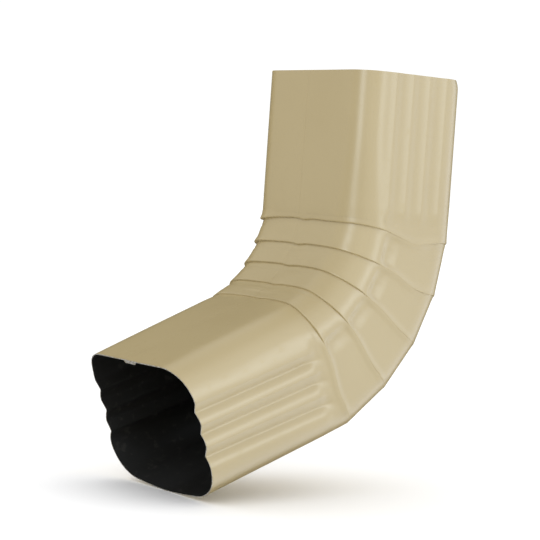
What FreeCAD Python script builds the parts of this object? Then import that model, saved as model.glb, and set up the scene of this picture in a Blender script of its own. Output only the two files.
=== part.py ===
import FreeCAD, Part
import math
import os
import Sketcher

# A downspout elbow: one painted aluminium sheet, closed by a lock seam into a box tube and turned forward
# by five crimps. The origin is the middle of the inlet rim, and +Z points up out of the inlet. The throat,
# the wide face inside the turn, looks to -Y, and the heel, the wide face outside it, to +Y against the wall.

NODE = "elbow"
CRIMPS = 5
GROOVES = 3

# Driving sizes in millimetres, the angle in degrees
SIZES = (
    ("width", 82.6, "outside, side face to side face"),
    ("depth", 63.5, "outside, throat to heel"),
    ("corner_radius", 13.1, "outside, at the four long corners"),
    ("mouth_corner_radius", 16.0, "the same corners, opened out at the mouth"),
    ("wall", 0.5, "sheet thickness"),
    ("upper_leg", 75.9, "inlet rim to first crimp, on the centre line"),
    ("gore", 19.1, "crimp to crimp, on the centre line"),
    ("lower_leg", 79.2, "last crimp to mouth, on the centre line"),
    ("crimp_turn", 13.36, "turn of the tube at each crimp"),
    ("throat_step", 1.0, "drop under the lip of a crimp at the throat"),
    ("heel_step", 0.3, "drop under the lip of a crimp at the heel"),
    ("heel_swell", 2.0, "outward bulge of the heel at the last crimp, growing from nothing at the first"),
    ("pleat_throat", 6.0, "depth of the folded pleat at the throat"),
    ("pleat_heel", 1.0, "depth of the folded pleat at the heel"),
    ("groove_depth", 2.5, "of the long grooves in the side faces"),
    ("groove_floor", 1.6, "width of a groove's floor"),
    ("groove_land", 3.4, "flat left between two grooves"),
    ("groove_end", 8.0, "plain tube left between the grooves and the nearest crimp"),
    ("groove_fade", 10.0, "length over which a groove runs out"),
    ("panel_step", 1.2, "step in the side of each gore, in line with the first groove"),
    ("panel_run", 2.0, "width of that step's slope"),
    ("mouth_crown", 2.8, "outward bow of the heel face at the mouth, growing from nothing at the neck"),
    ("seam_width", 9.0, "lock seam inside the throat"),
    ("seam_thickness", 1.2, "folded layers of the seam, inside the wall"),
    ("seam_edge", 0.6, "width of the round edge on each side of the seam"),
)

doc = FreeCAD.newDocument("downspout_elbow")
sheet = doc.addObject("Spreadsheet::Sheet", "sizes")
for row, (alias, value, note) in enumerate(SIZES, start=1):
    sheet.set(f"A{row}", alias)
    sheet.set(f"B{row}", str(value))
    sheet.setAlias(f"B{row}", alias)
    sheet.set(f"C{row}", note)
doc.recompute()

body = doc.addObject("PartDesign::Body", NODE)
body.Label = NODE
level_plane = [plane for plane in body.Origin.OriginFeatures if plane.Role == "XY_Plane"][0]


# Expressions on the sizes

def turned(crimps):
    """The angle that the tube has turned by after that many crimps."""
    return f"({crimps} * sizes.crimp_turn * 1 deg)"


def length(number):
    """A plain number as a length, to add to a place."""
    return f"({number}) * 1 mm"


HALF_DEPTH = "sizes.depth / 2"
MITRE_HALF_DEPTH = f"({HALF_DEPTH} / cos({turned(0.5)}))"

# The top of a pleat slopes up from heel to throat, across the stretch above its crimp
PLEAT_SLOPE = f"(tan({turned(0.5)}) + (sizes.pleat_throat - sizes.pleat_heel) / sizes.depth)"
PLEAT_HALF_DEPTH = f"({HALF_DEPTH} / cos(atan({PLEAT_SLOPE})))"
PLEAT_MIDDLE = "((sizes.pleat_throat + sizes.pleat_heel) / 2)"
PLEAT_SHARE = f"(sizes.pleat_throat / (sizes.gore - sizes.depth * tan({turned(0.5)})))"

# Grooves share evenly the flat that the mouth leaves on a side face
SIDE_FLAT = "(sizes.depth - 2 * sizes.mouth_corner_radius)"
GROOVE_PITCH = f"({SIDE_FLAT} / {GROOVES})"
GROOVE_HALF_WIDTH = f"(({GROOVE_PITCH} - sizes.groove_land) / 2)"
GROOVE_RUN = f"({GROOVE_HALF_WIDTH} - sizes.groove_floor / 2)"
GROOVE_LEAN = f"(sizes.wall * tan(atan(sizes.groove_depth / {GROOVE_RUN}) / 2))"
FIRST_GROOVE_EDGE = f"(-{GROOVE_PITCH} * {(GROOVES - 1) / 2} - {GROOVE_HALF_WIDTH})"


# Profiles of a side face: points from throat to heel as (place along the depth, drop below the face)

def grooved_side(depth, lean="0"):
    """Grooves of a given depth, with slopes moved apart by lean."""
    points = []
    for groove in range(GROOVES):
        centre = f"{groove - (GROOVES - 1) / 2} * {GROOVE_PITCH}"
        edge = f"({GROOVE_HALF_WIDTH} + {lean})"
        floor = f"(sizes.groove_floor / 2 + {lean})"
        points.append((f"{centre} - {edge}", "0"))
        points.append((f"{centre} - {floor}", depth))
        points.append((f"{centre} + {floor}", depth))
        points.append((f"{centre} + {edge}", "0"))
    return points


def panel_side(step):
    """A flat panel that drops by step beside the throat corner and comes back out at the heel corner."""
    return [(FIRST_GROOVE_EDGE, "0"), (f"{FIRST_GROOVE_EDGE} + sizes.panel_run", step)]


CORNER = "sizes.corner_radius"
FULL_GROOVES = grooved_side("sizes.groove_depth")
FULL_GROOVES_INSIDE = grooved_side("sizes.groove_depth", GROOVE_LEAN)
NO_GROOVES = grooved_side("0")
PLAIN_PANEL = panel_side("0")
STEPPED_PANEL = panel_side("sizes.panel_step")


# Rings: sketches across the tube, each with one outline of the sheet's outer or inner face

def right_half(half_depth, swell, throat_inset, heel_inset, corner, side, inside):
    """Points of an outline's right half, throat to heel, as (x, y, whether a round corner follows).

    The outline is set in from the full size by the two insets, and inside the throat runs round the seam.
    """
    radius = f"({corner} - sizes.wall)" if inside else corner
    throat = f"({throat_inset} - {half_depth})"
    heel = f"({half_depth} + {swell} - {heel_inset})"
    throat_side = f"(sizes.width / 2 - ({throat_inset}))"
    heel_side = f"(sizes.width / 2 - ({heel_inset}))"
    side_start = f"({throat} + {radius})"
    side_end = f"({heel} - {radius})"
    points = []
    if inside:
        points.append(("sizes.seam_width / 2 - sizes.seam_edge", f"{throat} + sizes.seam_thickness", False))
        points.append(("sizes.seam_width / 2", throat, False))
    points.append((f"{throat_side} - {radius}", throat, True))
    points.append((throat_side, side_start, False))
    for place, drop in side:
        along = f"({place} - {side_start}) / ({side_end} - {side_start})"
        face = f"{throat_side} + ({heel_side} - {throat_side}) * {along}"
        points.append((f"{face} - {drop}", place, False))
    points.append((heel_side, side_end, True))
    points.append((f"{heel_side} - {radius}", heel, False))
    return radius, points


def bowed_edge(start, end, radius):
    """The short arc from start to end that bulges to the right of that direction."""
    chord = end - start
    outward = FreeCAD.Vector(chord.y, -chord.x, 0).normalize()
    rise = radius - math.sqrt(radius ** 2 - chord.Length ** 2 / 4)
    return Part.Arc(start, (start + end) / 2 + outward * rise, end)


def draw_outline(sketch, radius, half, crown):
    """Draws a closed outline, its left half the mirror of the right, and ties its points to the sizes.

    The heel edge is straight, or bowed out by crown.
    """
    right = []
    for x, y, rounded in half:
        right.append(FreeCAD.Vector(float(sketch.evalExpression(x)), float(sketch.evalExpression(y)), 0))
    left = [FreeCAD.Vector(-point.x, point.y, 0) for point in reversed(right)]
    points = right + left
    heel_radius = f"(({half[-1][0]}) ^ 2 + ({crown}) ^ 2) / (2 * {crown})" if crown else None
    right_radii = [radius if rounded else None for x, y, rounded in half[:-1]]
    radii = right_radii + [heel_radius] + right_radii[::-1] + [None]

    constraints = []
    bound = {}
    for number, edge_radius in enumerate(radii):
        following = (number + 1) % len(points)
        start = points[number]
        end = points[following]
        constraints.append(Sketcher.Constraint("Coincident", number, 2, following, 1))
        if edge_radius:
            value = float(sketch.evalExpression(edge_radius))
            sketch.addGeometry(bowed_edge(start, end, value), False)
            bound[len(constraints)] = edge_radius
            constraints.append(Sketcher.Constraint("Radius", number, value))
        else:
            sketch.addGeometry(Part.LineSegment(start, end), False)
    for number, (x, y, is_round) in enumerate(half):
        bound[len(constraints)] = x
        constraints.append(Sketcher.Constraint("DistanceX", -1, 1, number, 1, right[number].x))
        bound[len(constraints)] = y
        constraints.append(Sketcher.Constraint("DistanceY", -1, 1, number, 1, right[number].y))
        mirrored = len(points) - 1 - number
        constraints.append(Sketcher.Constraint("Symmetric", number, 1, mirrored, 1, -2))
    sketch.addConstraint(constraints)
    for number, expression in bound.items():
        sketch.setExpression(f"Constraints[{number}]", expression)


def ring(name, place, angle, half_depth, insets, side, inside=False, swell="0", corner=CORNER, crown=None):
    """A sketch with its middle at place, as (y, z), turned forward by angle, with one outline in it."""
    sketch = body.newObject("Sketcher::SketchObject", name)
    sketch.AttachmentSupport = [(level_plane, "")]
    sketch.MapMode = "FlatFace"
    if angle:
        tilt = FreeCAD.Rotation(FreeCAD.Vector(-1, 0, 0), sheet.crimp_turn)
        sketch.AttachmentOffset = FreeCAD.Placement(FreeCAD.Vector(), tilt)
        sketch.setExpression("AttachmentOffset.Rotation.Angle", angle)
    sketch.setExpression("AttachmentOffset.Base.y", place[0])
    sketch.setExpression("AttachmentOffset.Base.z", place[1])
    radius, half = right_half(half_depth, swell, insets[0], insets[1], corner, side, inside)
    draw_outline(sketch, radius, half, crown)
    return sketch


def loft(kind, name, rings):
    """A straight run from each ring to the next, added to the tube or cut from it."""
    feature = body.newObject(f"PartDesign::{kind}Loft", name)
    feature.Profile = rings[0]
    feature.Sections = rings[1:]
    feature.Ruled = True
    feature.Refine = False
    return feature


def ahead(start, distance, angle):
    """The place at a distance from a ring along the tube, where the tube has turned by angle."""
    forward = length(f"({distance}) * sin({angle})")
    down = length(f"({distance}) * cos({angle})")
    return (f"{start}.AttachmentOffset.Base.y - {forward}", f"{start}.AttachmentOffset.Base.z - {down}")


# Insets of the sheet's faces, at throat and heel
OUTER_FACE = ("0", "0")
INNER_FACE = ("sizes.wall", "sizes.wall")
UNDER_LIP = ("sizes.throat_step", "sizes.heel_step")
UNDER_LIP_INSIDE = ("(sizes.throat_step + sizes.wall)", "(sizes.heel_step + sizes.wall)")

# The grooves stop short of the first and the last crimp, measured at the heel
NECK = f"({HALF_DEPTH} * tan({turned(0.5)}) + sizes.groove_end)"
UPPER_NECK = f"({NECK} - sizes.upper_leg)"
LAST_LIP = f"lip_{CRIMPS}"
FULL_TURN = turned(CRIMPS)


def swell_at(crimp):
    """The heel's bulge at a crimp, numbered from 1 at the inlet."""
    return f"(sizes.heel_swell * {(crimp - 1) / (CRIMPS - 1)})"


def swell_past(distance):
    """The heel's bulge at a distance past the last crimp: it is gone at the mouth."""
    return f"(sizes.heel_swell * (1 - ({distance}) / sizes.lower_leg))"


def upper_leg(prefix, face, grooves, inside):
    """Rings of one face of the upper leg: the inlet rim, and where its grooves start and end to run out."""
    heights = (("rim", "0", grooves),
               ("fade", f"{UPPER_NECK} + sizes.groove_fade", grooves),
               ("neck", UPPER_NECK, NO_GROOVES))
    rings = []
    for name, height, side in heights:
        rings.append(ring(f"{prefix}_{name}", ("0", height), None, HALF_DEPTH, face, side, inside))
    return rings


def lower_leg(prefix, face, grooves, inside):
    """Rings of one face of the lower leg: where its grooves come in, and the mouth's rim."""
    opened = f"(sizes.groove_fade / (sizes.lower_leg - {NECK}))"
    fade_corner = f"({CORNER} + (sizes.mouth_corner_radius - {CORNER}) * {opened})"
    fade_crown = f"(sizes.mouth_crown * {opened})"
    distances = (("neck", NECK, NO_GROOVES, CORNER, None),
                 ("fade", f"{NECK} + sizes.groove_fade", grooves, fade_corner, fade_crown),
                 ("rim", "sizes.lower_leg", grooves, "sizes.mouth_corner_radius", "sizes.mouth_crown"))
    rings = []
    for name, distance, side, corner, crown in distances:
        rings.append(ring(f"{prefix}_{name}", ahead(LAST_LIP, distance, FULL_TURN), FULL_TURN, HALF_DEPTH,
                          face, side, inside, swell_past(distance), corner, crown))
    return rings


def mitre(name, crimp, place, insets, side, inside=False):
    """A ring on the plane that halves the turn of a crimp."""
    return ring(f"{name}_{crimp}", place, turned(crimp - 0.5), MITRE_HALF_DEPTH, insets, side, inside,
                swell_at(crimp))


# Each crimp is a flat Z-fold: the lip of the stretch above, the pleat folded up behind it, and the next
# stretch, which starts under the lip and spreads to the full size at its own lip

def bend_outside():
    """Rings of the outer face, from neck to neck: the lip of each crimp and the drop under it."""
    rings = [ring("bend_start", ("0", UPPER_NECK), None, HALF_DEPTH, OUTER_FACE, PLAIN_PANEL)]
    for crimp in range(1, CRIMPS + 1):
        if crimp == 1:
            place = ("0", "-sizes.upper_leg")
            side = PLAIN_PANEL
        else:
            place = ahead(f"lip_{crimp - 1}", "sizes.gore", turned(crimp - 1))
            side = STEPPED_PANEL
        rings.append(mitre("lip", crimp, place, OUTER_FACE, side))
        rings.append(mitre("under_lip", crimp, ahead(f"lip_{crimp}", "0", "0"), UNDER_LIP, STEPPED_PANEL))
    place = ahead(LAST_LIP, NECK, FULL_TURN)
    rings.append(ring("bend_end", place, FULL_TURN, HALF_DEPTH, OUTER_FACE, PLAIN_PANEL, False,
                      swell_past(NECK)))
    return rings


def bend_inside():
    """Rings of the inner face: down to each pleat's ledge, in over the ledge, and down its folded layers."""
    rings = [ring("bore_start", ("0", UPPER_NECK), None, HALF_DEPTH, INNER_FACE, PLAIN_PANEL, True)]
    for crimp in range(1, CRIMPS + 1):
        lip = f"lip_{crimp}"
        above = turned(crimp - 1)
        share = "0" if crimp == 1 else PLEAT_SHARE
        side = PLAIN_PANEL if crimp == 1 else STEPPED_PANEL
        top = ahead(lip, f"-{PLEAT_MIDDLE}", above)
        angle = f"({above} + atan({PLEAT_SLOPE}))"
        ledge = (f"({share} * sizes.throat_step + sizes.wall)", "sizes.wall")
        fold = (f"(({share} + 1) * sizes.throat_step + sizes.wall)", UNDER_LIP_INSIDE[1])
        for name, insets in (("ledge", ledge), ("pleat", fold)):
            rings.append(ring(f"{name}_{crimp}", top, angle, PLEAT_HALF_DEPTH, insets, side, True,
                              swell_at(crimp)))
        rings.append(mitre("pleat_foot", crimp, ahead(lip, "0", "0"), UNDER_LIP_INSIDE, STEPPED_PANEL, True))
    place = ahead(LAST_LIP, NECK, FULL_TURN)
    rings.append(ring("bore_end", place, FULL_TURN, HALF_DEPTH, INNER_FACE, PLAIN_PANEL, True,
                      swell_past(NECK)))
    return rings


# The tube's outside is added stretch by stretch, then its inside is cut out of it

loft("Additive", "bend", bend_outside())
loft("Additive", "upper_leg", upper_leg("inlet", OUTER_FACE, FULL_GROOVES, False))
loft("Additive", "lower_leg", lower_leg("mouth", OUTER_FACE, FULL_GROOVES, False))
loft("Subtractive", "bend_bore", bend_inside())
loft("Subtractive", "upper_bore", upper_leg("inlet_bore", INNER_FACE, FULL_GROOVES_INSIDE, True))
loft("Subtractive", "lower_bore", lower_leg("mouth_bore", INNER_FACE, FULL_GROOVES_INSIDE, True))
doc.recompute()

# The document and the solid are sound before anything is written

for item in doc.Objects:
    if "Invalid" in item.State or "Error" in item.State:
        raise RuntimeError(f"{item.Name} failed: {item.State}")
solid = body.Shape
if solid.isNull() or not solid.isValid() or len(solid.Solids) != 1:
    raise RuntimeError(f"{NODE} is not one valid solid")

os.makedirs("parts", exist_ok=True)
solid.exportStep(f"parts/{body.Label}.step")
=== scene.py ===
import math
from collections import namedtuple

import bmesh
import bpy
from bpy.props import FloatProperty, FloatVectorProperty, PointerProperty
from mathutils import Matrix, Vector


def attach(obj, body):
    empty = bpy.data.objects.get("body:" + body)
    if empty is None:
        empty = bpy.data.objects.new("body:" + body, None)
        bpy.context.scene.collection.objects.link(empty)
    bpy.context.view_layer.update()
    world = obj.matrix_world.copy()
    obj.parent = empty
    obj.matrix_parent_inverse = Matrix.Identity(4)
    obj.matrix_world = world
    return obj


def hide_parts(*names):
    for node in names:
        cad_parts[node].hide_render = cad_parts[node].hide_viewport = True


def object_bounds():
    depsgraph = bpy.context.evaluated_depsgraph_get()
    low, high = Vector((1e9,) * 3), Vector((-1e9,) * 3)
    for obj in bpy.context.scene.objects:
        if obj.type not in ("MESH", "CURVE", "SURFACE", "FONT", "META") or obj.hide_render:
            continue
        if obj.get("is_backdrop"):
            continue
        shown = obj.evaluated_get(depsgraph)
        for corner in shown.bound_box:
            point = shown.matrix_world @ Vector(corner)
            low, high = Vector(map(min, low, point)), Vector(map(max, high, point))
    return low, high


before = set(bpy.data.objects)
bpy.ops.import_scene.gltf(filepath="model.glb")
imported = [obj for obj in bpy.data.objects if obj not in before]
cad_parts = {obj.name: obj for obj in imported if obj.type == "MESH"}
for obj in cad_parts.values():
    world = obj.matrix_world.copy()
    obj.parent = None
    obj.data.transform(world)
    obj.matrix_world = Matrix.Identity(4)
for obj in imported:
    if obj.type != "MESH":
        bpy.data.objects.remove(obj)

CAD_LOW, CAD_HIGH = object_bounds()

bl_info = {
    "name": "Downspout elbow",
    "version": (1, 0, 0),
    "blender": (4, 5, 0),
    "location": "3D View > Sidebar > Elbow",
    "description": "Dresses the packed elbow as a crimped tube of painted sheet, on a plain stage",
    "category": "Object",
}

MM = 0.001
NODE = "elbow"
CRIMPS = 5
GROOVES = 3

# How finely the section is divided
CORNER_CUTS = 11
SIDE_CUTS = 67
WIDE_CUTS = 19

# Length from which an edge of the plain section is one of its straight sides
STRAIGHT_EDGE = 10 * MM

# Part of a direction along an axis from which a side counts as flat
FLAT = 0.999

# Points of the section that are closer than this are one
WELD = 0.001 * MM

# Faces that meet at more than this angle, in degrees, show an edge
SHARP = 50.0

# Faces of the sheet, in the order of the piece's materials
PAINTED, BARE, DARK = range(3)


# Values that a user would change

def size(name, description, default_mm):
    """A length of the object, given in millimetres."""
    return FloatProperty(name=name, description=description, default=default_mm * MM, min=0.0,
                         precision=5, subtype="DISTANCE", unit="LENGTH")


def turn(name, description, default_degrees):
    """An angle, given in degrees."""
    return FloatProperty(name=name, description=description, default=math.radians(default_degrees),
                         subtype="ANGLE", unit="ROTATION")


def colour(name, description, default):
    """A colour of a finish or a light, as scene-linear red, green and blue."""
    return FloatVectorProperty(name=name, description=description, default=default, size=3,
                               min=0.0, max=1.0, subtype="COLOR")


def strength(name, description, default):
    """A plain number, such as a brightness or a share."""
    return FloatProperty(name=name, description=description, default=default, min=0.0)


class ElbowTube(bpy.types.PropertyGroup):
    """Sizes of the tube and of its turn."""
    width: size("Width", "Outside, side face to side face", (CAD_HIGH.x - CAD_LOW.x) / MM)
    depth: size("Depth", "Outside, throat to heel", 63.5)
    corner_radius: size("Corner radius", "Outside, at the four long corners", 13.1)
    mouth_corner_radius: size("Mouth corner radius", "The same corners, opened out at the mouth", 16.0)
    gore_corner_radius: size("Gore corner radius", "The throat's near corner, eased over the gores", 18.0)
    gore_corner_start: size("Gore corner start", "First crimp up to where it starts to ease", 50.0)
    gore_corner_end: size("Gore corner end", "Mouth back to where it is still fully eased", 22.0)
    wall: size("Wall", "Sheet thickness", 0.5)
    upper_leg: size("Upper leg", "Inlet rim to first crimp, on the centre line", 75.9)
    gore: size("Gore", "Crimp to crimp, on the centre line", 19.1)
    lower_leg: size("Lower leg", "Last crimp to mouth, on the centre line", 79.2)
    crimp_turn: turn("Crimp turn", "Turn of the tube at each crimp", 13.36)
    mouth_crown: size("Mouth crown", "Outward bow of the heel face at the mouth", 2.8)
    heel_swell: size("Heel swell", "Outward bulge of the heel at the last crimp", 2.0)
    mouth_setback: size("Mouth setback", "How far the mouth's rim stands back on the sides", 2.3)
    rim_tuck: size("Rim tuck", "How far the inlet rim is pressed in at its heel corners", 1.1)
    rim_run: size("Rim run", "Length of tube over which it is pressed in", 5.0)


class ElbowFolds(bpy.types.PropertyGroup):
    """Sizes of the crimps, of the lock seam and of the shapes pressed into the sides."""
    throat_step: size("Throat step", "Drop under the lip of a crimp at the throat", 0.85)
    heel_step: size("Heel step", "Drop under the lip of a crimp at the heel", 0.08)
    heel_lip: size("Heel lip", "Drop under the lip where it comes up again at the heel", 0.6)
    heel_lip_start: size("Heel lip start", "Middle of the depth to where it starts to come up", 8.0)
    throat_flare: size("Throat flare", "Outward flare of a lip at the throat's far corner", 0.9)
    lip_end: size("Lip end", "Middle of the depth to where the lip, from the throat, has died away", 9.0)
    lip_run: size("Lip run", "Length over which the lip dies away", 10.0)
    heel_dip: size("Heel dip", "Hollow beside the ridge of a crimp at the heel", 0.75)
    pleat_throat: size("Pleat at throat", "Depth of the folded pleat at the throat", 6.0)
    pleat_heel: size("Pleat at heel", "Depth of the folded pleat at the heel", 1.0)
    groove_depth: size("Groove depth", "Of the long grooves in the sides", 2.5)
    groove_floor: size("Groove floor", "Width of a groove's rounded floor", 0.8)
    groove_steep: size("Groove steep", "Width of a crisp groove's short flank, on the throat's side", 4.6)
    groove_offset: size("Groove offset", "How far the upper leg's grooves lie towards the heel", 1.2)
    groove_drift: size("Groove drift", "How far the lower leg's grooves lie heelward at the bend", 4.7)
    groove_soft: strength("Soft grooves", "Share of that depth in the upper leg's soft grooves", 0.24)
    neck: size("Neck", "Heel of the first or the last crimp to where the tube runs straight", 8.0)
    groove_end: size("Groove end", "Plain tube between the grooves and the nearest crimp", 2.0)
    groove_fade: size("Groove fade", "Length over which a groove runs out", 13.0)
    panel_step: size("Panel step", "Step in the side of each gore", 1.15)
    panel_lead: size("Panel lead", "From the first groove to that step, towards the throat", 3.8)
    panel_run: size("Panel run", "Width of that step's slope", 5.0)
    panel_crest: size("Panel crest", "Height of the ridge along the edge of that step", 0.36)
    panel_dent: size("Panel dent", "Length of the dent beside that step, towards the heel", 7.0)
    seam_width: size("Seam width", "Lock seam inside the throat", 9.0)
    seam_thickness: size("Seam thickness", "Folded layers of the seam, inside the wall", 1.2)
    seam_edge: size("Seam edge", "Width of the round edge on each side of the seam", 0.6)
    seam_line: size("Seam line", "Depth of the fine line that the seam leaves outside", 0.05)
    slack: size("Slack", "Soft unevenness of the wide faces", 0.25)


class ElbowFinish(bpy.types.PropertyGroup):
    """Colours and gloss of the finishes."""
    paint: colour("Paint", "Cream enamel outside", (0.412, 0.329, 0.168))
    paint_deep: colour("Deep paint", "The same enamel where it lies thicker", (0.398, 0.315, 0.157))
    # The inside face is coloured near-black all over, at about 1 % reflectance
    dark: colour("Inside", "Dark coat on the inside", (0.010, 0.009, 0.007))
    dark_dust: colour("Inside dust", "Dust on the dark coat", (0.028, 0.026, 0.021))
    bare: colour("Bare edge", "Cut edge of the aluminium sheet", (0.72, 0.70, 0.66))
    bare_dull: colour("Dull edge", "Cut edge where paint was drawn over it", (0.46, 0.40, 0.28))
    paint_roughness: strength("Paint roughness", "Of the enamel's surface", 0.33)
    dark_roughness: strength("Inside roughness", "Of the dark coat", 0.5)


class ElbowStage(bpy.types.PropertyGroup):
    """The floor, the lights and the camera."""
    floor: colour("Floor", "Pale floor", (0.97, 0.97, 0.97))
    sky: strength("Sky", "Brightness all round", 1.05)
    gloss_tint: colour("Gloss tint", "Tint of the room that glossy faces mirror", (0.80, 0.88, 1.0))
    gloss: strength("Gloss", "Brightness of the room that glossy faces mirror", 3.2)
    gloss_throat: strength("Throat gloss", "Share of it that the throat mirrors", 0.33)
    gloss_below: strength("Gloss below", "Share of it that faces mirror from under the object", 0.2)
    overhead: strength("Overhead", "Brightness of the sky overhead", 1.33)
    side_panel: strength("Side panel", "Brightness of the panel that the near side mirrors", 3.4)
    crest_panel: strength("Crest panel", "Brightness of the panel that the lower crests mirror", 4.0)
    panel_tint: colour("Panel tint", "Tint of the panels and of the strip", (0.85, 0.94, 1.0))
    strip: strength("Strip", "Brightness of the strip that the throat's corner mirrors", 5.2)
    lens: FloatProperty(name="Lens", description="Focal length", default=122.9, unit="CAMERA")
    roll: turn("Roll", "Turn of the camera about its view", 3.97)


# The section: a closed loop of points, each held by its place on the loop

Place = namedtuple("Place", "core_x core_y out_x out_y")


def draw_section(mesh, tube, folds):
    """Draws the section of the tube as a loop of edges, and returns its places in order."""
    bmesh.ops.create_grid(mesh, x_segments=1, y_segments=1, size=0.5)
    bmesh.ops.scale(mesh, vec=(tube.width, tube.depth, 1.0), verts=mesh.verts)
    bmesh.ops.bevel(mesh, geom=mesh.verts[:], offset=tube.corner_radius, offset_type="OFFSET",
                    segments=CORNER_CUTS + 1, profile=0.5, affect="VERTICES", material=-1)
    bmesh.ops.delete(mesh, geom=mesh.faces[:], context="FACES_ONLY")
    for edges, cuts in ((straight_edges(mesh, 1), SIDE_CUTS), (straight_edges(mesh, 0), WIDE_CUTS)):
        bmesh.ops.subdivide_edges(mesh, edges=edges, cuts=cuts)
    half_seam = folds.seam_width / 2
    for x in (-half_seam, folds.seam_edge / 2 - half_seam, folds.seam_edge - half_seam,
              half_seam - folds.seam_edge, half_seam):
        bmesh.ops.bisect_plane(mesh, geom=mesh.verts[:] + mesh.edges[:], dist=WELD,
                               plane_co=(x, 0.0, 0.0), plane_no=(1.0, 0.0, 0.0))
    number = mesh.verts.layers.int.new("place")
    ordered = sorted(mesh.verts, key=lambda vert: math.atan2(vert.co.y, vert.co.x))
    for count, vert in enumerate(ordered):
        vert[number] = count
    return [place_of(vert.co, tube) for vert in ordered]


def straight_edges(mesh, axis):
    """The long edges of the section that run along an axis."""
    found = []
    for edge in mesh.edges:
        run = edge.verts[0].co - edge.verts[1].co
        if abs(run[axis]) > run.length * FLAT and run.length > STRAIGHT_EDGE:
            found.append(edge)
    return found


def place_of(point, tube):
    """A point of the section as its place on the core rectangle and its outward direction."""
    half_width = tube.width / 2 - tube.corner_radius
    half_depth = tube.depth / 2 - tube.corner_radius
    core_x = max(-half_width, min(half_width, point.x))
    core_y = max(-half_depth, min(half_depth, point.y))
    outward = Vector((point.x - core_x, point.y - core_y)).normalized()
    return Place(core_x / half_width, core_y / half_depth, outward.x, outward.y)


# Rings: places along the tube where the section is drawn again

Ring = namedtuple("Ring", "matrix drop dip flare reach lean crisp aside panel opened tuck swell "
                  "above below between pleat")

# Profile of a crimp: distance past its plane in millimetres, then shares of the drop under the lip,
# of the dip beside the ridge, of the lip's flare and of the panel's step
CRIMP_ABOVE = ((-4.4, 0.0, 1.0, 0.0, 0.98), (-3.4, 0.0, 0.94, 0.08, 0.92), (-2.4, 0.0, 0.72, 0.3, 0.78),
               (-1.6, 0.0, 0.4, 0.6, 0.58), (-1.0, 0.0, 0.17, 0.83, 0.4), (-0.6, 0.0, 0.06, 0.95, 0.28),
               (-0.25, 0.06, 0.01, 1.0, 0.22), (-0.06, 0.25, 0.0, 0.9, 0.2), (0.0, 0.6, 0.0, 0.6, 0.2))
CRIMP_BELOW = ((0.05, 1.05, 0.0, 0.0, 0.2), (0.35, 1.03, 0.03, 0.0, 0.21), (0.8, 1.0, 0.14, 0.0, 0.24),
               (1.4, 0.97, 0.4, 0.0, 0.3), (2.2, 0.93, 0.76, 0.0, 0.39), (3.2, 0.9, 1.0, 0.0, 0.5))

# Profile of a pleat: distance past its ledge in millimetres, then the share of the fold's depth
PLEAT_PROFILE = ((-0.3, 0.0), (0.0, 0.15), (0.15, 0.8), (0.5, 1.0))

# Share of a panel's step at the foot of the last pleat, past which there is no panel
LAST_FOOT_PANEL = 0.45

# Share of a panel's step that is there from the lip on, and where in the gore the rest of it grows
PANEL_SHARE = 0.6
PANEL_START = 0.3
PANEL_GROWTH = 0.27

# Each crimp's line leaves its plane: sag on the side and the place along the depth where it is most,
# rise in the middle of the throat, drop at the throat's near and far corners, all in millimetres;
# then the share of the lip's flare, the share of the drop that is left on the lip itself, and the share
# of the lip that comes up again at the heel
CrimpLine = namedtuple("CrimpLine", "sag sag_place rise near_drop far_drop flare sunk heel")
CRIMP_LINES = (
    CrimpLine(3.3, 5.0, 1.1, -0.9, 1.2, 1.3, 0.0, 1.0),
    CrimpLine(2.6, 13.0, 0.6, 0.2, 0.8, 1.2, 0.0, 0.8),
    CrimpLine(1.3, 17.0, 0.9, 0.6, 0.8, 0.7, 0.0, 0.15),
    CrimpLine(1.4, 14.0, 0.6, 1.3, 1.3, 0.4, 0.1, 0.15),
    CrimpLine(2.2, 14.0, 1.2, 1.6, 1.6, 0.0, 0.1, 0.0),
)
STRAIGHT_LINE = CrimpLine(0.0, 0.0, 0.0, 0.0, 0.0, 0.0, 0.0, 0.0)

# Widths of that sag and of the drop at a corner, and the kink at the lock seam, in millimetres
SAG_WIDTH = 12.0
CORNER_WIDTH = 11.0
SEAM_KINK = 0.7
SEAM_KINK_WIDTH = 4.0

# How the rings lie along a leg: next to its rim, along its plain part, and closer together at its neck
RIM_STEP = 0.6 * MM
TUCK_START = 1.4 * MM
TUCK_RINGS = 4
LEG_MARGIN = 3 * MM
UPPER_LEG_RINGS = 9
LOWER_LEG_RINGS = 10
NECK_MARGIN = 8 * MM
NECK_SPAN = 7 * MM
NECK_RINGS = 6

# How they lie between a neck and its crimp, and from crimp to crimp: first and last share, and number
BEND_SPREAD = (0.08, 0.62, 7)
GORE_SPREAD = (0.33, 0.57, 6)
INNER_BEND_SPREAD = (0.1, 0.5, 5)
INNER_GORE_SPREAD = (0.2, 0.42, 2)

# Share of the last lip's drop that the lower leg's throat starts with, and how quickly it makes it up
LOWER_SAG = 0.9
LOWER_SAG_POWER = 1.5


def smooth(value):
    """Eases a share from 0 to 1."""
    share = max(0.0, min(1.0, value))
    return share * share * (3.0 - 2.0 * share)


def spread(start, end, count):
    """Evenly spaced values from start to end, both included."""
    return [start + (end - start) * number / (count - 1) for number in range(count)]


def down_tube(angle):
    """Direction of the tube where it has turned by angle."""
    return Vector((0.0, -math.sin(angle), -math.cos(angle)))


def across(centre, tilt, lean=0.0):
    """Frame of a section that is turned forward by tilt, and deeper where it leans from square."""
    deeper = Matrix.Scale(1.0 / math.cos(lean), 4, (0.0, 1.0, 0.0))
    return Matrix.Translation(centre) @ Matrix.Rotation(-tilt, 4, "X") @ deeper


def crimp_middles(tube):
    """The middle of each crimp, from the inlet on."""
    middles = [down_tube(0.0) * tube.upper_leg]
    for crimp in range(1, CRIMPS):
        middles.append(middles[-1] + down_tube(crimp * tube.crimp_turn) * tube.gore)
    return middles


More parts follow.
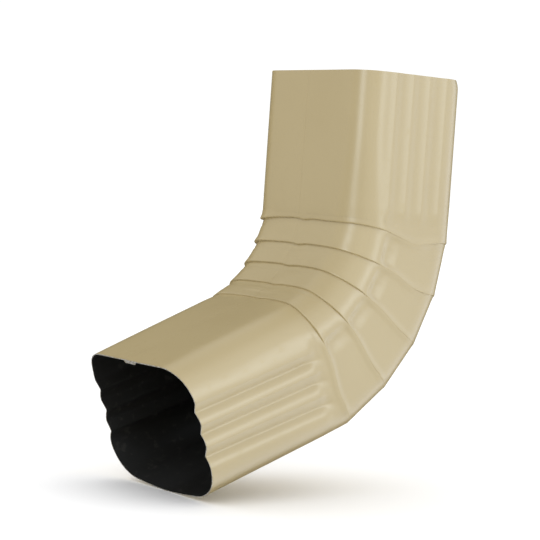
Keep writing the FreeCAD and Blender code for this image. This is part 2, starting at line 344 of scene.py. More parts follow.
def line_of(crimp):
    """The line of a crimp, numbered from 1; the tube's ends have straight ones."""
    return CRIMP_LINES[crimp - 1] if 1 <= crimp <= CRIMPS else STRAIGHT_LINE


def new_ring(matrix, drop=0.0, dip=0.0, flare=0.0, reach=0.0, lean=0.0, crisp=0.0, aside=0.0, panel=0.0,
             opened=0.0, tuck=0.0, swell=0.0, above=0, below=0, between=0.0, pleat=0.0):
    """A ring between two crimps, named above and below, at a share of the way between them.

    On a leg, reach is its distance from the leg's crimp, and lean its tilt towards that crimp's plane.
    Its grooves are soft or crisp, and lie aside towards the heel.
    """
    return Ring(matrix, drop, dip, flare, reach, lean, crisp, aside, panel, opened, tuck, swell,
                line_of(above), line_of(below), between, pleat)


def neck_length(tube, folds):
    """From the first or the last crimp to where the tube runs straight, on the centre line."""
    return tube.depth / 2 * math.tan(tube.crimp_turn / 2) + folds.neck


def throat_gore(tube):
    """Length of a gore along the throat."""
    return tube.gore - tube.depth * math.tan(tube.crimp_turn / 2)


def lip_drop(crimp, drop):
    """A share of the drop towards the lip of a crimp, which may itself be sunk."""
    sunk = line_of(crimp).sunk
    return sunk + (1.0 - sunk) * drop


def swell_at(crimp, tube):
    """The heel's bulge at a crimp."""
    return tube.heel_swell * (crimp - 1) / (CRIMPS - 1)


def lower_swell(distance, tube):
    """The heel's bulge along the lower leg."""
    return tube.heel_swell * (1.0 - distance / tube.lower_leg)


def lower_drift(distance, tube, folds):
    """How far the lower leg's grooves lie towards the heel."""
    return folds.groove_drift * (1.0 - distance / tube.lower_leg)


def lower_sag(distance, tube):
    """Share of the last lip's drop that the throat of the lower leg still has."""
    return LOWER_SAG * (1.0 - distance / tube.lower_leg) ** LOWER_SAG_POWER


def upper_leg_rings(tube, folds):
    """From the inlet rim to the neck above the first crimp."""
    neck = tube.upper_leg - neck_length(tube, folds)
    distances = [0.0, RIM_STEP]
    distances += spread(TUCK_START, tube.rim_run, TUCK_RINGS)
    distances += spread(tube.rim_run + LEG_MARGIN, neck - NECK_MARGIN, UPPER_LEG_RINGS)
    distances += spread(neck - NECK_SPAN, neck, NECK_RINGS)
    rings = []
    for distance in distances:
        tuck = max(0.0, 1.0 - distance / tube.rim_run) ** 2
        rings.append(new_ring(across(down_tube(0.0) * distance, 0.0), reach=tube.upper_leg - distance,
                              aside=folds.groove_offset, tuck=tuck, below=1))
    return rings


def lower_leg_rings(tube, folds):
    """From the neck below the last crimp to the mouth's rim."""
    angle = CRIMPS * tube.crimp_turn
    last = crimp_middles(tube)[-1]
    neck = neck_length(tube, folds)
    distances = spread(neck, neck + NECK_SPAN, NECK_RINGS)
    distances += spread(neck + NECK_MARGIN, tube.lower_leg - LEG_MARGIN, LOWER_LEG_RINGS)
    distances += [tube.lower_leg - RIM_STEP, tube.lower_leg]
    rings = []
    for distance in distances:
        opened = (distance - neck) / (tube.lower_leg - neck)
        rings.append(new_ring(across(last + down_tube(angle) * distance, angle),
                              drop=lower_sag(distance, tube), reach=distance, crisp=1.0,
                              aside=lower_drift(distance, tube, folds), opened=opened,
                              swell=lower_swell(distance, tube), above=CRIMPS, between=1.0))
    return rings


def gore_ring(crimp, share, tube, panel):
    """A ring at a share of the way from a crimp to the next."""
    angle = crimp * tube.crimp_turn
    lean = (share - 0.5) * tube.crimp_turn
    centre = crimp_middles(tube)[crimp - 1] + down_tube(angle) * tube.gore * share
    swell = swell_at(crimp, tube) + (swell_at(crimp + 1, tube) - swell_at(crimp, tube)) * share
    return new_ring(across(centre, angle + lean, lean), drop=lip_drop(crimp + 1, 1.0 - share), dip=1.0,
                    panel=panel, swell=swell, above=crimp, below=crimp + 1, between=share)


def crimp_ring(crimp, past, tube, drop, dip, flare=0.0, panel=0.0):
    """A ring along the plane of a crimp, at a distance past it."""
    turned = crimp if past > 0 else crimp - 1
    centre = crimp_middles(tube)[crimp - 1] + down_tube(turned * tube.crimp_turn) * past
    tilt = (crimp - 0.5) * tube.crimp_turn
    return new_ring(across(centre, tilt, tube.crimp_turn / 2), drop=drop, dip=dip, flare=flare,
                    panel=panel, swell=swell_at(crimp, tube), above=crimp, below=crimp)


def end_bend_ring(share, crimp, tube, folds):
    """A ring between a neck and the crimp next to it, at a share of the way to the crimp."""
    first = crimp == 1
    angle = 0.0 if first else CRIMPS * tube.crimp_turn
    lean = share * tube.crimp_turn / 2 * (1 if first else -1)
    reach = neck_length(tube, folds) * (1.0 - share)
    centre = crimp_middles(tube)[crimp - 1] + down_tube(angle) * reach * (-1 if first else 1)
    matrix = across(centre, angle + lean, lean)
    dip = smooth(2 * share)
    if first:
        return new_ring(matrix, dip=dip, reach=reach, lean=abs(lean), aside=folds.groove_offset, below=1,
                        between=share)
    return new_ring(matrix, drop=lower_sag(reach, tube), dip=dip, reach=reach, lean=abs(lean), crisp=1.0,
                    aside=lower_drift(reach, tube, folds), swell=lower_swell(reach, tube), above=CRIMPS,
                    between=1.0 - share)


def outside_rings(tube, folds):
    """Rings of the painted face, from the inlet to the mouth."""
    rings = upper_leg_rings(tube, folds)
    for share in spread(*BEND_SPREAD):
        rings.append(end_bend_ring(share, 1, tube, folds))
    for crimp in range(1, CRIMPS + 1):
        for past, drop, dip, flare, panel in CRIMP_ABOVE:
            left = 0.0 if crimp == 1 else -past * MM / throat_gore(tube)
            rings.append(crimp_ring(crimp, past * MM, tube, lip_drop(crimp, max(drop, left)), dip, flare,
                                    0.0 if crimp == 1 else panel))
        for past, drop, dip, flare, panel in CRIMP_BELOW:
            rings.append(crimp_ring(crimp, past * MM, tube, drop, dip, flare,
                                    0.0 if crimp == CRIMPS else panel))
        if crimp < CRIMPS:
            for share in spread(*GORE_SPREAD):
                grown = smooth((share - PANEL_START) / PANEL_GROWTH)
                rings.append(gore_ring(crimp, share, tube, PANEL_SHARE + (1.0 - PANEL_SHARE) * grown))
    for share in reversed(spread(*BEND_SPREAD)):
        rings.append(end_bend_ring(share, CRIMPS, tube, folds))
    return rings + lower_leg_rings(tube, folds)


def pleat_rings(crimp, tube, folds):
    """Rings of the dark face over a pleat: its ledge, its fold and its foot."""
    lean = math.atan(math.tan(tube.crimp_turn / 2) + (folds.pleat_throat - folds.pleat_heel) / tube.depth)
    angle = (crimp - 1) * tube.crimp_turn
    middle = (folds.pleat_throat + folds.pleat_heel) / 2
    left = 0.0 if crimp == 1 else folds.pleat_throat / throat_gore(tube)
    rings = []
    for past, pleat in PLEAT_PROFILE:
        centre = crimp_middles(tube)[crimp - 1] + down_tube(angle) * (past * MM - middle)
        rings.append(new_ring(across(centre, angle + lean, lean), drop=lip_drop(crimp, left), dip=1.0,
                              panel=0.0 if crimp == 1 else 1.0, swell=swell_at(crimp, tube),
                              above=crimp, below=crimp, pleat=pleat))
    foot_panel = LAST_FOOT_PANEL if crimp == CRIMPS else 1.0
    rings.append(crimp_ring(crimp, 0.0, tube, drop=1.0, dip=1.0, panel=foot_panel))
    return rings


def inside_rings(tube, folds):
    """Rings of the dark face, from the inlet to the mouth."""
    rings = upper_leg_rings(tube, folds)
    for crimp in range(1, CRIMPS + 1):
        rings += pleat_rings(crimp, tube, folds)
        if crimp < CRIMPS:
            for share in spread(*INNER_GORE_SPREAD):
                rings.append(gore_ring(crimp, share, tube, 1.0))
    for share in reversed(spread(*INNER_BEND_SPREAD)):
        rings.append(end_bend_ring(share, CRIMPS, tube, folds))
    return rings + lower_leg_rings(tube, folds)


# Shaping: where a place of the section stands on a ring

# Share of a groove's depth that the flank beside the throat's corner has
CORNER_FLANK = 0.2

# Share of a panel's step that comes out again in its dent; the rest does so up to the heel
DENT_SHARE = 0.75

# How quickly the dip of a ridge and the shapes pressed into a side die away round a corner, as powers
DIP_POWER = 6
PRESS_POWER = 8

# Waves of a wide face, in radians per millimetre along and across the tube, and their rise from its corners
SLACK_ALONG = (0.11, 0.045)
SLACK_ACROSS = (0.07, 0.09)
SLACK_EDGE = 1.25

# The heel's bow at the mouth: share of the width that it takes up, and the power of its rise
BOW_WIDTH = 0.8
BOW_POWER = 1.5

# The rim's setback: power of its growth along the leg, and the share that it loses towards the heel,
# from where on in the depth and how quickly
SETBACK_POWER = 6
SETBACK_LOSS = 0.7
SETBACK_LOSS_START = 0.05
SETBACK_LOSS_RATE = 2.6


def groove_pitch(tube):
    """Distance from groove to groove."""
    return (tube.depth - 2 * tube.mouth_corner_radius) / GROOVES


def groove_drop(y, crisp, folds, tube):
    """Depth below the side face of the long grooves, between soft waves and crisp valleys.

    The throat's corner runs into the side with such a flank too, before the first groove.
    """
    pitch = groove_pitch(tube)
    deepest = 0.0
    for groove in range(-1, GROOVES):
        past = y - (groove - (GROOVES - 1) / 2) * pitch
        width = folds.groove_steep if past < 0 else pitch - folds.groove_steep
        valley = max(0.0, 1.0 - math.hypot(past, folds.groove_floor / 2) / width)
        valley = valley if past < 0 else valley ** 2
        wave = max(0.0, 1.0 - (2 * past / pitch) ** 2) if past > 0 else smooth(1.0 + 2 * past / pitch)
        if groove < 0:
            valley = CORNER_FLANK * valley if past > 0 else CORNER_FLANK
            wave = wave if past > 0 else 1.0
        deepest = max(deepest, crisp * valley + (1.0 - crisp) * folds.groove_soft * wave)
    return folds.groove_depth * deepest


def panel_drop(y, folds, tube):
    """Depth of the step in the side of a gore: a ridge, a dent beside it, run out at the heel."""
    start = -groove_pitch(tube) * (GROOVES - 1) / 2 - folds.panel_lead
    end = tube.depth / 2 - tube.corner_radius
    floor = start + folds.panel_run
    rise = smooth((y - start) / folds.panel_run)
    out_in_dent = smooth((y - floor) / folds.panel_dent)
    out_at_heel = smooth((y - floor) / (end - floor))
    left = 1.0 - DENT_SHARE * out_in_dent - (1.0 - DENT_SHARE) * out_at_heel
    crest = folds.panel_crest * math.exp(-((y - start) / (folds.panel_run / 2)) ** 2)
    return folds.panel_step * rise * left - crest


def pressed_drop(y, ring, tube, folds):
    """Depth below the side face of all that is pressed into it, the grooves and the panel."""
    clear = ring.reach + y * (math.tan(tube.crimp_turn / 2) - math.tan(ring.lean))
    fade = smooth((clear - folds.groove_end) / folds.groove_fade)
    groove = fade * groove_drop(y - ring.aside, ring.crisp, folds, tube)
    return groove + ring.panel * panel_drop(y, folds, tube)


def from_corner(place, tube):
    """Distance round the section from the middle of the nearest throat corner, in metres."""
    half_arc = tube.corner_radius * math.pi / 4
    if place.out_y < -FLAT:
        return half_arc + (1.0 - abs(place.core_x)) * (tube.width / 2 - tube.corner_radius)
    if abs(place.out_x) > FLAT:
        return half_arc + (1.0 + place.core_y) * (tube.depth / 2 - tube.corner_radius)
    return tube.corner_radius * abs(math.atan2(-place.out_y, abs(place.out_x)) - math.pi / 4)


def at_corner(place, tube):
    """How close a place is to the nearest throat corner: 1 in its middle, 0 far from it."""
    return math.exp(-(from_corner(place, tube) / MM / CORNER_WIDTH) ** 2)


def crimp_shift(line, x, y, place, tube):
    """How far a crimp's line runs down the tube from its plane, in metres."""
    throat = place.out_y ** 2 if place.out_y < 0 else 0.0
    sag = line.sag * math.exp(-((y / MM - line.sag_place) / SAG_WIDTH) ** 2) * place.out_x ** 2
    rise = line.rise * math.cos(math.pi * x / tube.width) ** 2 * throat
    drop = line.near_drop if place.out_x > 0 or place.core_x > 0 else line.far_drop
    kink = SEAM_KINK * math.exp(-(x / MM / SEAM_KINK_WIDTH) ** 2) * throat if line.sag else 0.0
    return (sag - rise + drop * at_corner(place, tube) + kink) * MM


def heelward(y, folds):
    """How far the lip of a crimp has died away: 0 at the throat, 1 where the heel's own step is left."""
    return smooth((y + folds.lip_end + folds.lip_run) / folds.lip_run)


def lip_step(y, folds):
    """Full drop under the lip of a crimp."""
    return folds.throat_step + (folds.heel_step - folds.throat_step) * heelward(y, folds)


def crimp_drop(place, y, ring, tube, folds):
    """Depth below the plain tube beside a crimp: under its lip and beside its ridge, less its flare."""
    at_heel = smooth((y - folds.heel_lip_start) / folds.lip_run) * abs(place.out_x)
    drop = ring.drop * lip_step(y, folds)
    drop += ring.drop * folds.heel_lip * ring.above.heel * at_heel
    drop += ring.dip * folds.heel_dip * heelward(y, folds) * place.out_x ** DIP_POWER
    if place.core_x < 0:
        flare = ring.flare * ring.above.flare * folds.throat_flare
        drop -= flare * max(0.0, -place.out_y) * at_corner(place, tube)
    return drop


def slack_drop(place, x, ring, folds):
    """Depth of a wide face's soft waves, which die away towards its corners."""
    along = -(ring.matrix.translation.y + ring.matrix.translation.z) / MM
    wave = math.sin(along * SLACK_ALONG[0] + x / MM * SLACK_ACROSS[0])
    wave *= math.cos(x / MM * SLACK_ACROSS[1] + along * SLACK_ALONG[1])
    return folds.slack * (0.5 + 0.5 * wave) * smooth(SLACK_EDGE * (1.0 - abs(place.core_x)))


def seam_drop(x, folds, inside):
    """The lock seam in the throat: its folded layers inside, a fine line outside."""
    half_seam = folds.seam_width / 2
    if inside:
        return folds.seam_thickness * smooth((half_seam - abs(x)) / folds.seam_edge)
    from_line = abs(x - folds.seam_edge / 2 + half_seam)
    return folds.seam_line * (1.0 - smooth(from_line / (folds.seam_edge / 2)))


def mouth_bow(x, place, ring, tube):
    """How far the heel face bows out towards the mouth."""
    bow_end = tube.width / 2 * BOW_WIDTH
    bow = max(0.0, 1.0 - (x / bow_end) ** 2) ** BOW_POWER
    return tube.mouth_crown * ring.opened * bow * max(0.0, place.out_y)


def rim_setback(y, place, ring, tube):
    """How far a side stands back at the mouth."""
    lost = SETBACK_LOSS * smooth((y / tube.depth + SETBACK_LOSS_START) * SETBACK_LOSS_RATE)
    return tube.mouth_setback * ring.opened ** SETBACK_POWER * place.out_x ** 2 * (1.0 - lost)


def corner_ease(ring, tube):
    """How far the throat's near corner is eased: fully over the gores, not at the inlet and the mouth."""
    if ring.crisp:
        return smooth((tube.lower_leg - ring.reach) / tube.gore_corner_end)
    return 1.0 - smooth(ring.reach / tube.gore_corner_start)


def radius_at(place, ring, tube):
    """Outside radius of the corner that a place belongs to."""
    radius = tube.corner_radius + (tube.mouth_corner_radius - tube.corner_radius) * ring.opened
    if place.core_x > 0 and place.core_y < 0:
        radius += (tube.gore_corner_radius - radius) * corner_ease(ring, tube)
    return radius


def stand(place, ring, tube, folds, inside):
    """The point of a ring at a place of the section, on the painted or the dark face."""
    radius = radius_at(place, ring, tube)
    x = place.core_x * (tube.width / 2 - radius) + place.out_x * radius
    y = place.core_y * (tube.depth / 2 - radius) + place.out_y * radius

    inset = crimp_drop(place, y, ring, tube, folds)
    inset += max(pressed_drop(y, ring, tube, folds), -inset) * abs(place.out_x) ** PRESS_POWER
    inset += ring.tuck * tube.rim_tuck * (2.0 * place.out_x * max(0.0, place.out_y)) ** 2
    if abs(place.out_y) > FLAT:
        inset += slack_drop(place, x, ring, folds)
    if inside:
        inset += tube.wall + ring.pleat * lip_step(y, folds)
    if place.out_y < -FLAT:
        inset += seam_drop(x, folds, inside)

    x -= place.out_x * inset
    y -= place.out_y * inset
    y += ring.swell * max(0.0, place.core_y)
    y += mouth_bow(x, place, ring, tube)
    shift = crimp_shift(ring.above, x, y, place, tube) * (1.0 - ring.between)
    shift += crimp_shift(ring.below, x, y, place, tube) * ring.between
    return ring.matrix @ Vector((x, y, rim_setback(y, place, ring, tube) - shift))


def settle(verts, number, places, ring, tube, folds, inside):
    """Moves the points of one loop to their places on a ring."""
    for vert in verts:
        vert.co = stand(places[vert[number]], ring, tube, folds, inside)


def sweep_sheet(mesh, tube, folds):
    """Extrudes the section from the inlet down the outside, round the mouth and back up inside."""
    places = draw_section(mesh, tube, folds)
    number = mesh.verts.layers.int["place"]
    first_edges = mesh.edges[:]
    outside = outside_rings(tube, folds)
    inside = inside_rings(tube, folds)[::-1]
    settle(mesh.verts, number, places, outside[0], tube, folds, False)
    runs = [(ring, False, PAINTED) for ring in outside[1:]]
    runs += [(inside[0], True, BARE)]
    runs += [(ring, True, DARK) for ring in inside[1:]]
    edges = first_edges
    for ring, inner, finish in runs:
        made = bmesh.ops.extrude_edge_only(mesh, edges=edges)["geom"]
        verts = [item for item in made if isinstance(item, bmesh.types.BMVert)]
        settle(verts, number, places, ring, tube, folds, inner)
        for face in (item for item in made if isinstance(item, bmesh.types.BMFace)):
            face.material_index = finish
        fresh = set(verts)
        edges = [item for item in made if isinstance(item, bmesh.types.BMEdge)
                 and item.verts[0] in fresh and item.verts[1] in fresh]
    rim = bmesh.ops.bridge_loops(mesh, edges=edges + first_edges)["faces"]
    for face in rim:
        face.material_index = BARE
    bmesh.ops.recalc_face_normals(mesh, faces=mesh.faces)


# Finishes

# Noise of a surface: cycles per metre, detail, and the range of it that is used
Grain = namedtuple("Grain", "scale detail low high")
MOTTLE = Grain(16.0, 3.0, 0.34, 0.66)
DUST = Grain(260.0, 4.0, 0.56, 0.74)
STREAKS = Grain(900.0, 2.0, 0.4, 0.62)
PEEL_DETAIL = 1.0

# The sprayed enamel and the near-black inside face: the grain that colours each and the one that roughens
# it, how far its roughness goes down and up, its sheen, and its orange peel in cycles per metre and in
# height
Coat = namedtuple("Coat", "coloured_by roughened_by smoother rougher sheen peel_scale peel_height")
ENAMEL = Coat("Mottle", "Dust", 0.02, 0.05, 0.55, 650.0, 0.012 * MM)
# The inside face's finish, near-black all over
NEAR_BLACK_INSIDE = Coat("Dust", "Mottle", 0.06, 0.1, 0.3, 420.0, 0.02 * MM)

# The cut edge: range of its streaks that roughens it, the roughness from and to, and how metallic it is
EDGE_STREAKS = (0.3, 0.7)
EDGE_ROUGHNESS = (0.3, 0.55)
EDGE_METAL = 0.6


def link(tree, start, start_socket, end, end_socket):
    """Joins two nodes of a tree by the names of their sockets."""
    tree.links.new(start.outputs[start_socket], end.inputs[end_socket])


def node(tree, kind, **values):
    """Adds a node and sets its plain properties."""
    made = tree.nodes.new(kind)
    for name, value in values.items():
        setattr(made, name, value)
    return made


def noise(tree, coordinates, scale, detail):
    """Adds a noise texture on given coordinates, with scale in cycles per metre."""
    texture = node(tree, "ShaderNodeTexNoise")
    texture.inputs["Scale"].default_value = scale
    texture.inputs["Detail"].default_value = detail
    tree.links.new(coordinates, texture.inputs["Vector"])
    return texture


def ramp(tree, value, low, high, low_result=0.0, high_result=1.0):
    """Maps a value from one range to another, held at both ends."""
    made = node(tree, "ShaderNodeMapRange", interpolation_type="SMOOTHSTEP")
    made.inputs["From Min"].default_value = low
    made.inputs["From Max"].default_value = high
    made.inputs["To Min"].default_value = low_result
    made.inputs["To Max"].default_value = high_result
    tree.links.new(value, made.inputs["Value"])
    return made.outputs["Result"]


def mix_colours(tree, share, first, second):
    """Mixes two colours by a share that varies over the surface."""
    made = node(tree, "ShaderNodeMix", data_type="RGBA")
    made.inputs["A"].default_value = (*first, 1.0)
    made.inputs["B"].default_value = (*second, 1.0)
    tree.links.new(share, made.inputs["Factor"])
    return made.outputs["Result"]


def new_material(name):
    """An empty node material with its Principled shader, and its Object coordinates."""
    material = bpy.data.materials.new(name)
    material.use_nodes = True
    tree = material.node_tree
    shader = tree.nodes["Principled BSDF"]
    coordinates = node(tree, "ShaderNodeTexCoord").outputs["Object"]
    return material, tree, shader, coordinates


def coat_surface_group():
    """A shader group that puts out the mottle, the fine dust and the peel of the sprayed enamel and of the
    near-black inside.
    """
    group = bpy.data.node_groups.new("coat_surface", "ShaderNodeTree")
    group.interface.new_socket("Vector", in_out="INPUT", socket_type="NodeSocketVector")
    group.interface.new_socket("Peel Scale", in_out="INPUT", socket_type="NodeSocketFloat")
    for name in ("Mottle", "Dust", "Peel"):
        group.interface.new_socket(name, in_out="OUTPUT", socket_type="NodeSocketFloat")
    start = node(group, "NodeGroupInput")
    end = node(group, "NodeGroupOutput")
    for name, grain in (("Mottle", MOTTLE), ("Dust", DUST)):
        texture = noise(group, start.outputs["Vector"], grain.scale, grain.detail)
        shown = ramp(group, texture.outputs["Fac"], grain.low, grain.high)
        group.links.new(shown, end.inputs[name])
    peel = node(group, "ShaderNodeTexNoise")
    peel.inputs["Detail"].default_value = PEEL_DETAIL
    link(group, start, "Vector", peel, "Vector")
    link(group, start, "Peel Scale", peel, "Scale")
    link(group, peel, "Fac", end, "Peel")
    return group


def coat_material(name, group, coat, colours, roughness):
    """A finish of the sheet, the sprayed enamel or the near-black inside: two colours, a roughness that
    varies a little, and fine orange peel.
    """
    material, tree, shader, coordinates = new_material(name)
    surface = node(tree, "ShaderNodeGroup", node_tree=group)
    surface.inputs["Peel Scale"].default_value = coat.peel_scale
    tree.links.new(coordinates, surface.inputs["Vector"])
    mixed = mix_colours(tree, surface.outputs[coat.coloured_by], *colours)
    tree.links.new(mixed, shader.inputs["Base Color"])
    varied = ramp(tree, surface.outputs[coat.roughened_by], 0.0, 1.0, roughness - coat.smoother,
                  roughness + coat.rougher)
    tree.links.new(varied, shader.inputs["Roughness"])
    shader.inputs["Specular IOR Level"].default_value = coat.sheen
    peel = node(tree, "ShaderNodeBump")
    peel.inputs["Strength"].default_value = 1.0
    peel.inputs["Distance"].default_value = coat.peel_height
    link(tree, surface, "Peel", peel, "Height")
    link(tree, peel, "Normal", shader, "Normal")
    return material


def edge_material(finish):
    """Cut edge of the sheet: sheared aluminium with fine streaks, dull where paint was drawn over it."""
    material, tree, shader, coordinates = new_material("sheared_edge")
    streaks = noise(tree, coordinates, STREAKS.scale, STREAKS.detail).outputs["Fac"]
    share = ramp(tree, streaks, STREAKS.low, STREAKS.high)
    tree.links.new(mix_colours(tree, share, finish.bare, finish.bare_dull), shader.inputs["Base Color"])
    tree.links.new(ramp(tree, streaks, *EDGE_STREAKS, *EDGE_ROUGHNESS), shader.inputs["Roughness"])
    shader.inputs["Metallic"].default_value = EDGE_METAL
    return material


def sheet_materials(finish):
    """The three finishes of the sheet, in the order of its faces."""
    group = coat_surface_group()
    cream = (finish.paint, finish.paint_deep)
    dark = (finish.dark, finish.dark_dust)
    return (coat_material("cream_enamel", group, ENAMEL, cream, finish.paint_roughness),
            edge_material(finish),
            coat_material("near_black_inside", group, NEAR_BLACK_INSIDE, dark, finish.dark_roughness))


# The piece

class ELBOW_OT_sheet(bpy.types.Operator):
    """Build the crimped sheet and dress it"""
    bl_idname = "elbow.sheet"
    bl_label = "Build the sheet"

    def execute(self, context):
        mesh = bmesh.new()
        sweep_sheet(mesh, context.scene.elbow_tube, context.scene.elbow_folds)
        data = bpy.data.meshes.new("elbow_sheet")
        mesh.to_mesh(data)
        mesh.free()
        data.polygons.foreach_set("use_smooth", [True] * len(data.polygons))
        data.set_sharp_from_angle(angle=math.radians(SHARP))
        sheet = bpy.data.objects.new("elbow_sheet", data)
        context.scene.collection.objects.link(sheet)
        for material in sheet_materials(context.scene.elbow_finish):
            data.materials.append(material)
        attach(sheet, "root")
        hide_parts(NODE)
        return {"FINISHED"}


# The stage

# Half the floor's side in metres, its clouds in cycles per metre and their detail, how far they darken
# it, and its roughness
FLOOR_HALF = 20.0
FLOOR_CLOUDS = 1.5
FLOOR_DETAIL = 2.0
FLOOR_SHADE = 0.985
FLOOR_ROUGHNESS = 0.9

# Panels that only gloss shows: azimuth from +X towards +Y in degrees, then height above the object's
# middle, width and height of the panel, in metres
GlossPanel = namedtuple("GlossPanel", "name azimuth above width tall")
GLOSS_PANELS = (
    GlossPanel("side_panel", 19.5, 0.0, 0.36, 0.7),
    GlossPanel("crest_panel", 28.0, 0.4, 0.4, 0.28),
    GlossPanel("strip", -75.0, 0.1, 0.42, 1.4),
)
PANEL_DISTANCE = 1.2

# Changes across the room: azimuth and elevation in degrees of the way they face, and the range of
# directions, from -1 straight away to 1 straight on, over which they come about
RoomChange = namedtuple("RoomChange", "azimuth elevation low high")
NEAR_SIDE = RoomChange(17.5, -25.0, -0.43, 0.45)
BEHIND = RoomChange(-28.0, 13.0, -0.74, -0.3)
BELOW = RoomChange(90.0, 60.0, -0.8, -0.2)
OVERHEAD = RoomChange(0.0, 90.0, 0.0, 1.0)

WHITE = (1.0, 1.0, 1.0)

# Where the camera stands, in millimetres, which way it looks, and the width of its sensor
CAMERA_PLACE = (693.36, -582.81, -57.03)
CAMERA_LOOK = (-0.79194, 0.60892, -0.04521)
SENSOR = 36.0


def aim(thing, target, roll=0.0):
    """Turns a light or a camera to look at a point."""
    look = (target - thing.location).to_track_quat("-Z", "Y")
    thing.rotation_mode = "QUATERNION"
    thing.rotation_quaternion = (look.to_matrix() @ Matrix.Rotation(roll, 3, "Z")).to_quaternion()


def lay_floor(scene, stage):
    """A pale floor under the object, which gloss doesn't show."""
    mesh = bmesh.new()
    bmesh.ops.create_grid(mesh, x_segments=1, y_segments=1, size=FLOOR_HALF)
    bmesh.ops.translate(mesh, vec=(0.0, 0.0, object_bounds()[0].z), verts=mesh.verts)
    data = bpy.data.meshes.new("floor")
    mesh.to_mesh(data)
    mesh.free()
    floor = bpy.data.objects.new("floor", data)
    scene.collection.objects.link(floor)
    material, tree, shader, coordinates = new_material("pale_floor")
    clouds = noise(tree, coordinates, FLOOR_CLOUDS, FLOOR_DETAIL)
    shade = [value * FLOOR_SHADE for value in stage.floor]
    mixed = mix_colours(tree, clouds.outputs["Fac"], stage.floor, shade)
    tree.links.new(mixed, shader.inputs["Base Color"])
    shader.inputs["Roughness"].default_value = FLOOR_ROUGHNESS
    shader.inputs["Specular IOR Level"].default_value = 0.0
    data.materials.append(material)
    floor.visible_glossy = False
    floor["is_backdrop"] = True


def hang_panel(scene, panel, brightness, tint):
    """A white panel that only glossy faces show."""
    middle = (CAD_LOW + CAD_HIGH) / 2
    angle = math.radians(panel.azimuth)
    data = bpy.data.lights.new(panel.name, "AREA")
    data.shape = "RECTANGLE"
    data.size = panel.width
    data.size_y = panel.tall
    data.energy = brightness * math.pi * panel.width * panel.tall
    data.color = tint
    light = bpy.data.objects.new(panel.name, data)
    light.location = middle + Vector((math.cos(angle) * PANEL_DISTANCE, math.sin(angle) * PANEL_DISTANCE,
                                      panel.above))
    aim(light, middle)
    light.visible_camera = False
    light.visible_diffuse = False
    scene.collection.objects.link(light)


def across_room(tree, direction, change, low_result=0.0, high_result=1.0):
    """A value that goes from low to high as the direction turns to the way that a change faces."""
    azimuth = Matrix.Rotation(math.radians(change.azimuth), 3, "Z")
    elevation = Matrix.Rotation(-math.radians(change.elevation), 3, "Y")
    facing = node(tree, "ShaderNodeVectorMath", operation="DOT_PRODUCT")
    facing.inputs[1].default_value = azimuth @ elevation @ Vector((1.0, 0.0, 0.0))
    tree.links.new(direction, facing.inputs[0])
    return ramp(tree, facing.outputs["Value"], change.low, change.high, low_result, high_result)


def multiply(tree, first, second):
    """The product of two values."""
    made = node(tree, "ShaderNodeMath", operation="MULTIPLY")
    tree.links.new(first, made.inputs[0])
    tree.links.new(second, made.inputs[1])
    return made.outputs["Value"]


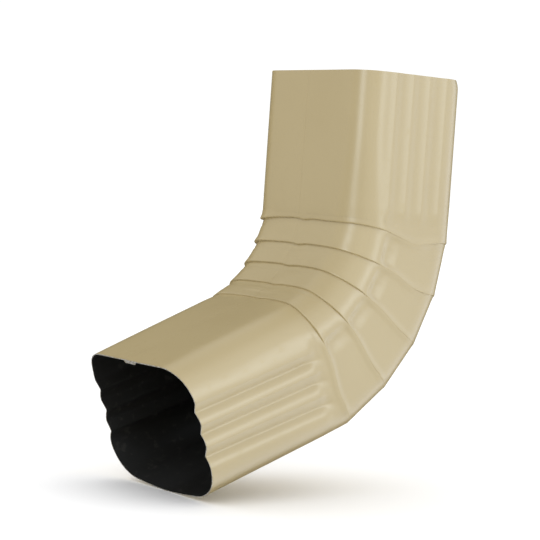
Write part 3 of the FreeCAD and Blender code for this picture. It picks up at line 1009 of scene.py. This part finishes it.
def light_room(scene, stage):
    """A white room; what gloss shows of it is bright on the near side, dark behind and below."""
    world = bpy.data.worlds.new("studio")
    world.use_nodes = True
    tree = world.node_tree
    background = tree.nodes["Background"]
    direction = node(tree, "ShaderNodeTexCoord").outputs["Generated"]
    near = across_room(tree, direction, NEAR_SIDE, stage.gloss_throat * stage.gloss, stage.gloss)
    behind = across_room(tree, direction, BEHIND)
    below = across_room(tree, direction, BELOW, stage.gloss_below)
    gloss = multiply(tree, near, multiply(tree, behind, below))
    sky = across_room(tree, direction, OVERHEAD, stage.sky, stage.overhead)
    glossy = node(tree, "ShaderNodeLightPath").outputs["Is Glossy Ray"]
    brightness = node(tree, "ShaderNodeMix", data_type="FLOAT")
    tree.links.new(glossy, brightness.inputs["Factor"])
    tree.links.new(sky, brightness.inputs["A"])
    tree.links.new(gloss, brightness.inputs["B"])
    link(tree, brightness, "Result", background, "Strength")
    tree.links.new(mix_colours(tree, glossy, WHITE, stage.gloss_tint), background.inputs["Color"])
    world.cycles.sampling_method = "NONE"
    scene.world = world
    scene.view_settings.view_transform = "Standard"


def set_camera(scene, stage):
    """The camera, at the angle of the photograph."""
    data = bpy.data.cameras.new("camera")
    data.lens = stage.lens
    data.sensor_width = SENSOR
    camera = bpy.data.objects.new("camera", data)
    camera.location = Vector(CAMERA_PLACE) * MM
    aim(camera, camera.location + Vector(CAMERA_LOOK), stage.roll)
    scene.collection.objects.link(camera)
    scene.camera = camera


class ELBOW_OT_stage(bpy.types.Operator):
    """Lay the floor, hang the lights and set up the camera"""
    bl_idname = "elbow.stage"
    bl_label = "Set the stage"

    def execute(self, context):
        stage = context.scene.elbow_stage
        lay_floor(context.scene, stage)
        light_room(context.scene, stage)
        for panel in GLOSS_PANELS:
            hang_panel(context.scene, panel, getattr(stage, panel.name), stage.panel_tint)
        set_camera(context.scene, stage)
        return {"FINISHED"}


class ELBOW_PT_panel(bpy.types.Panel):
    """Sizes, finishes and operators of the elbow"""
    bl_idname = "ELBOW_PT_panel"
    bl_label = "Downspout elbow"
    bl_space_type = "VIEW_3D"
    bl_region_type = "UI"
    bl_category = "Elbow"

    def draw(self, context):
        for operator in (ELBOW_OT_sheet, ELBOW_OT_stage):
            self.layout.operator(operator.bl_idname)
        for name, group in SETTINGS:
            column = self.layout.column()
            for prop in group.__annotations__:
                column.prop(getattr(context.scene, name), prop)


# Registration

SETTINGS = (("elbow_tube", ElbowTube), ("elbow_folds", ElbowFolds), ("elbow_finish", ElbowFinish),
            ("elbow_stage", ElbowStage))
CLASSES = tuple(group for name, group in SETTINGS) + (ELBOW_OT_sheet, ELBOW_OT_stage, ELBOW_PT_panel)


def register():
    for item in CLASSES:
        bpy.utils.register_class(item)
    for name, group in SETTINGS:
        setattr(bpy.types.Scene, name, PointerProperty(type=group))


def unregister():
    for name, group in SETTINGS:
        delattr(bpy.types.Scene, name)
    for item in reversed(CLASSES):
        bpy.utils.unregister_class(item)


def main():
    register()
    bpy.ops.elbow.sheet()
    bpy.ops.elbow.stage()


if __name__ == "__main__":
    main()
